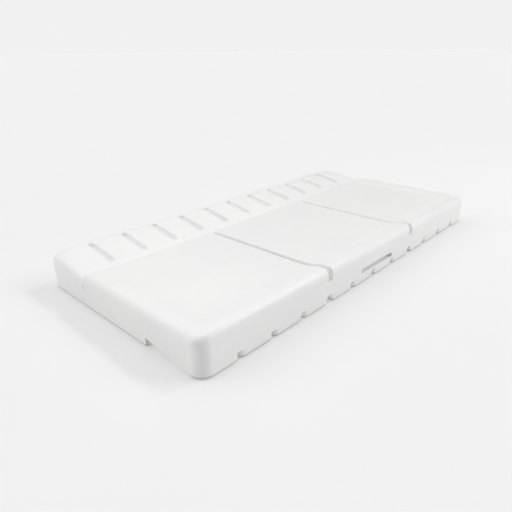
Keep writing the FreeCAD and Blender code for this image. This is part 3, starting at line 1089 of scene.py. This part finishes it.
def add_cores(name, body, cores, place_of):
    for cover, surface in cores:
        piece = surface.build(f"{name}_{cover.name}_foam", place_of(cover))
        finish_piece(piece, body, f"{name}_{cover.name}_core", "core_foam", CORE_FOAM)


def add_base(name, body, surface, place):
    piece = surface.build(f"{name}_base_foam", place)
    finish_piece(piece, body, f"{name}_base_block", "base_foam", BASE_FOAM)


def add_band(name, kind, surface, cover, side):
    """A piece across a fold line, between its section and the middle; it is left attached to neither.
    """
    piece = surface.build(f"{name}_{kind}_bridge", cover.place(side))
    finish_piece(piece, None, f"{name}_{kind}_web", "web_skin", SKIN_FINISH)
    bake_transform(piece)


SIDE_SLOTS = (1, 2, 3)      # in bays from the end of the mat
MIDDLE_SLOTS = (-1, 0, 1)   # in bays from its middle
for side, name in ((-1, "left"), (1, "right")):
    body = f"{name}_section"
    skins = [(PANEL, side_cover(PANEL, side, ()), "panel_skin"),
             (STRIP, side_cover(STRIP, side, SIDE_SLOTS), "strip_skin")]
    add_covers(name, body, skins, lambda cover: cover.place(side))
    cores = [(PANEL, side_cover(PANEL, side, (), INNER, True)),
             (STRIP, side_cover(STRIP, side, SIDE_SLOTS, INNER, True))]
    add_cores(name, body, cores, lambda cover: cover.place(side))
    block = base_block(INNER - HALF_LENGTH, -FOLD_X - BAND_HALF - FIT, True)
    add_base(name, body, block, PANEL.place(side))
    add_band(name, "fold", fold_band(), PANEL, side)
    add_band(name, "strip", strip_band(side), STRIP, side)

skins = [(PANEL, middle_cover(PANEL, (), True), "panel_skin"),
         (STRIP, middle_cover(STRIP, MIDDLE_SLOTS), "strip_skin")]
add_covers("middle", "middle_section", skins, lambda cover: cover.place(-1))
cores = [(PANEL, middle_cover(PANEL, (), False, INNER, True)),
         (STRIP, middle_cover(STRIP, MIDDLE_SLOTS, False, INNER, True))]
add_cores("middle", "middle_section", cores, lambda cover: cover.place(-1))
reach = FOLD_X - BAND_HALF - FIT
add_base("middle", "middle_section", base_block(-reach, reach, False), PANEL.place(-1))
liner = grip_cup().build("grip_liner", PANEL.place(-1))
finish_piece(liner, "middle_section", "grip_pocket", "grip_liner", SKIN_FINISH)


# =============================== floor, lights and camera ===============================

TABLE_GLOW = 0.35           # the floor is a light table, which lifts the shadows
WALL_LIGHT = 0.88           # the walls light the mat from eye level, fading out higher up
WALL_FADE = (0.08, 0.22)
BACKDROP_LIGHT = 0.88       # what the camera sees past the floor
# name, direction that the light comes from, angular width in degrees, power
SUNS = [
    ("overhead", (0.1, 0.25, 1.0), 100.0, 1.93),
    ("right_softbox", (0.62, -0.58, 0.50), 24.0, 0.89),
    ("left_softbox", (-0.60, 0.62, 0.50), 50.0, 0.97),
    ("lip_light", (0.67, -0.20, 0.70), 8.0, 0.50),
]
PANEL_LIGHT_SIZE = 0.8
PANEL_LIGHT_POWER = 3.0
PANEL_LIGHT_PLACE = Vector((1.35, -1.25, 0.30))
PANEL_LIGHT_AIM = Vector((0.45, -0.29, 0.05))
LENS = 32.68
CAMERA_PLACE = (-1.0212, -0.8355, 0.5564)
CAMERA_FORWARD = Vector((0.6623, 0.6297, -0.4060))
CAMERA_RIGHT = Vector((0.6855, -0.7280, -0.0108))


def floor_finish():
    shader = Shader("pale_floor")
    tone = shader.blend(shader.noise(2.0, 2.0), (0.50, 0.50, 0.50), (0.51, 0.51, 0.51))
    shader.join(tone, shader.surface.inputs["Base Color"])
    shader.surface.inputs["Roughness"].default_value = 0.9
    shader.surface.inputs["Emission Color"].default_value = (1.0, 1.0, 1.0, 1.0)
    shader.surface.inputs["Emission Strength"].default_value = TABLE_GLOW
    return shader.material


def add_floor():
    mesh = bpy.data.meshes.new("floor")
    sheet = bmesh.new()
    bmesh.ops.create_grid(sheet, x_segments=1, y_segments=1, size=200.0)
    sheet.to_mesh(mesh)
    sheet.free()
    mesh.materials.append(floor_finish())
    floor = bpy.data.objects.new("floor", mesh)
    bpy.context.collection.objects.link(floor)
    floor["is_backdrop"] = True


def add_sun(name, toward, spread, power):
    data = bpy.data.lights.new(name, "SUN")
    data.angle = math.radians(spread)
    data.energy = power
    lamp = bpy.data.objects.new(name, data)
    lamp.rotation_euler = Vector(toward).to_track_quat("Z", "Y").to_euler()
    bpy.context.collection.objects.link(lamp)


def add_world():
    """Pale studio walls at eye level that light the mat, with an even pale backdrop behind it."""
    world = bpy.data.worlds.new("studio")
    world.use_nodes = True
    tree = world.node_tree
    background = tree.nodes["Background"]
    place = tree.nodes.new("ShaderNodeTexCoord")
    parts = tree.nodes.new("ShaderNodeSeparateXYZ")
    level = tree.nodes.new("ShaderNodeMapRange")
    level.interpolation_type = "SMOOTHSTEP"
    level.inputs["From Min"].default_value = WALL_FADE[0]
    level.inputs["From Max"].default_value = WALL_FADE[1]
    level.inputs["To Min"].default_value = WALL_LIGHT
    level.inputs["To Max"].default_value = 0.0
    sight = tree.nodes.new("ShaderNodeLightPath")
    seen = tree.nodes.new("ShaderNodeMapRange")
    seen.inputs["To Max"].default_value = BACKDROP_LIGHT
    background.inputs["Color"].default_value = (1.0, 1.0, 1.0, 1.0)
    tree.links.new(place.outputs["Generated"], parts.inputs["Vector"])
    tree.links.new(parts.outputs["Z"], level.inputs["Value"])
    tree.links.new(sight.outputs["Is Camera Ray"], seen.inputs["Value"])
    tree.links.new(level.outputs["Result"], seen.inputs["To Min"])
    tree.links.new(seen.outputs["Result"], background.inputs["Strength"])
    bpy.context.scene.world = world


def add_far_panel():
    """Small softbox to the right that brightens the far end of the mat."""
    data = bpy.data.lights.new("far_panel", "AREA")
    data.size = PANEL_LIGHT_SIZE
    data.energy = PANEL_LIGHT_POWER
    lamp = bpy.data.objects.new("far_panel", data)
    lamp.location = PANEL_LIGHT_PLACE
    away = PANEL_LIGHT_PLACE - PANEL_LIGHT_AIM
    lamp.rotation_euler = away.to_track_quat("Z", "Y").to_euler()
    bpy.context.collection.objects.link(lamp)


def add_lights():
    add_world()
    for sun in SUNS:
        add_sun(*sun)
    add_far_panel()


def add_camera():
    data = bpy.data.cameras.new("camera")
    data.lens = LENS
    camera = bpy.data.objects.new("camera", data)
    camera.location = CAMERA_PLACE
    up = CAMERA_RIGHT.cross(CAMERA_FORWARD)
    turn = np.column_stack([CAMERA_RIGHT, up, -CAMERA_FORWARD])
    camera.rotation_euler = Matrix(turn.tolist()).to_euler()
    bpy.context.collection.objects.link(camera)
    bpy.context.scene.camera = camera


add_floor()
add_lights()
add_camera()
bpy.context.scene.view_settings.view_transform = "Standard"

made_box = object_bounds()
sizes = {"cad": cad_box, "visual": made_box}
{key: [list(corner) for corner in box] for key, box in sizes.items()}
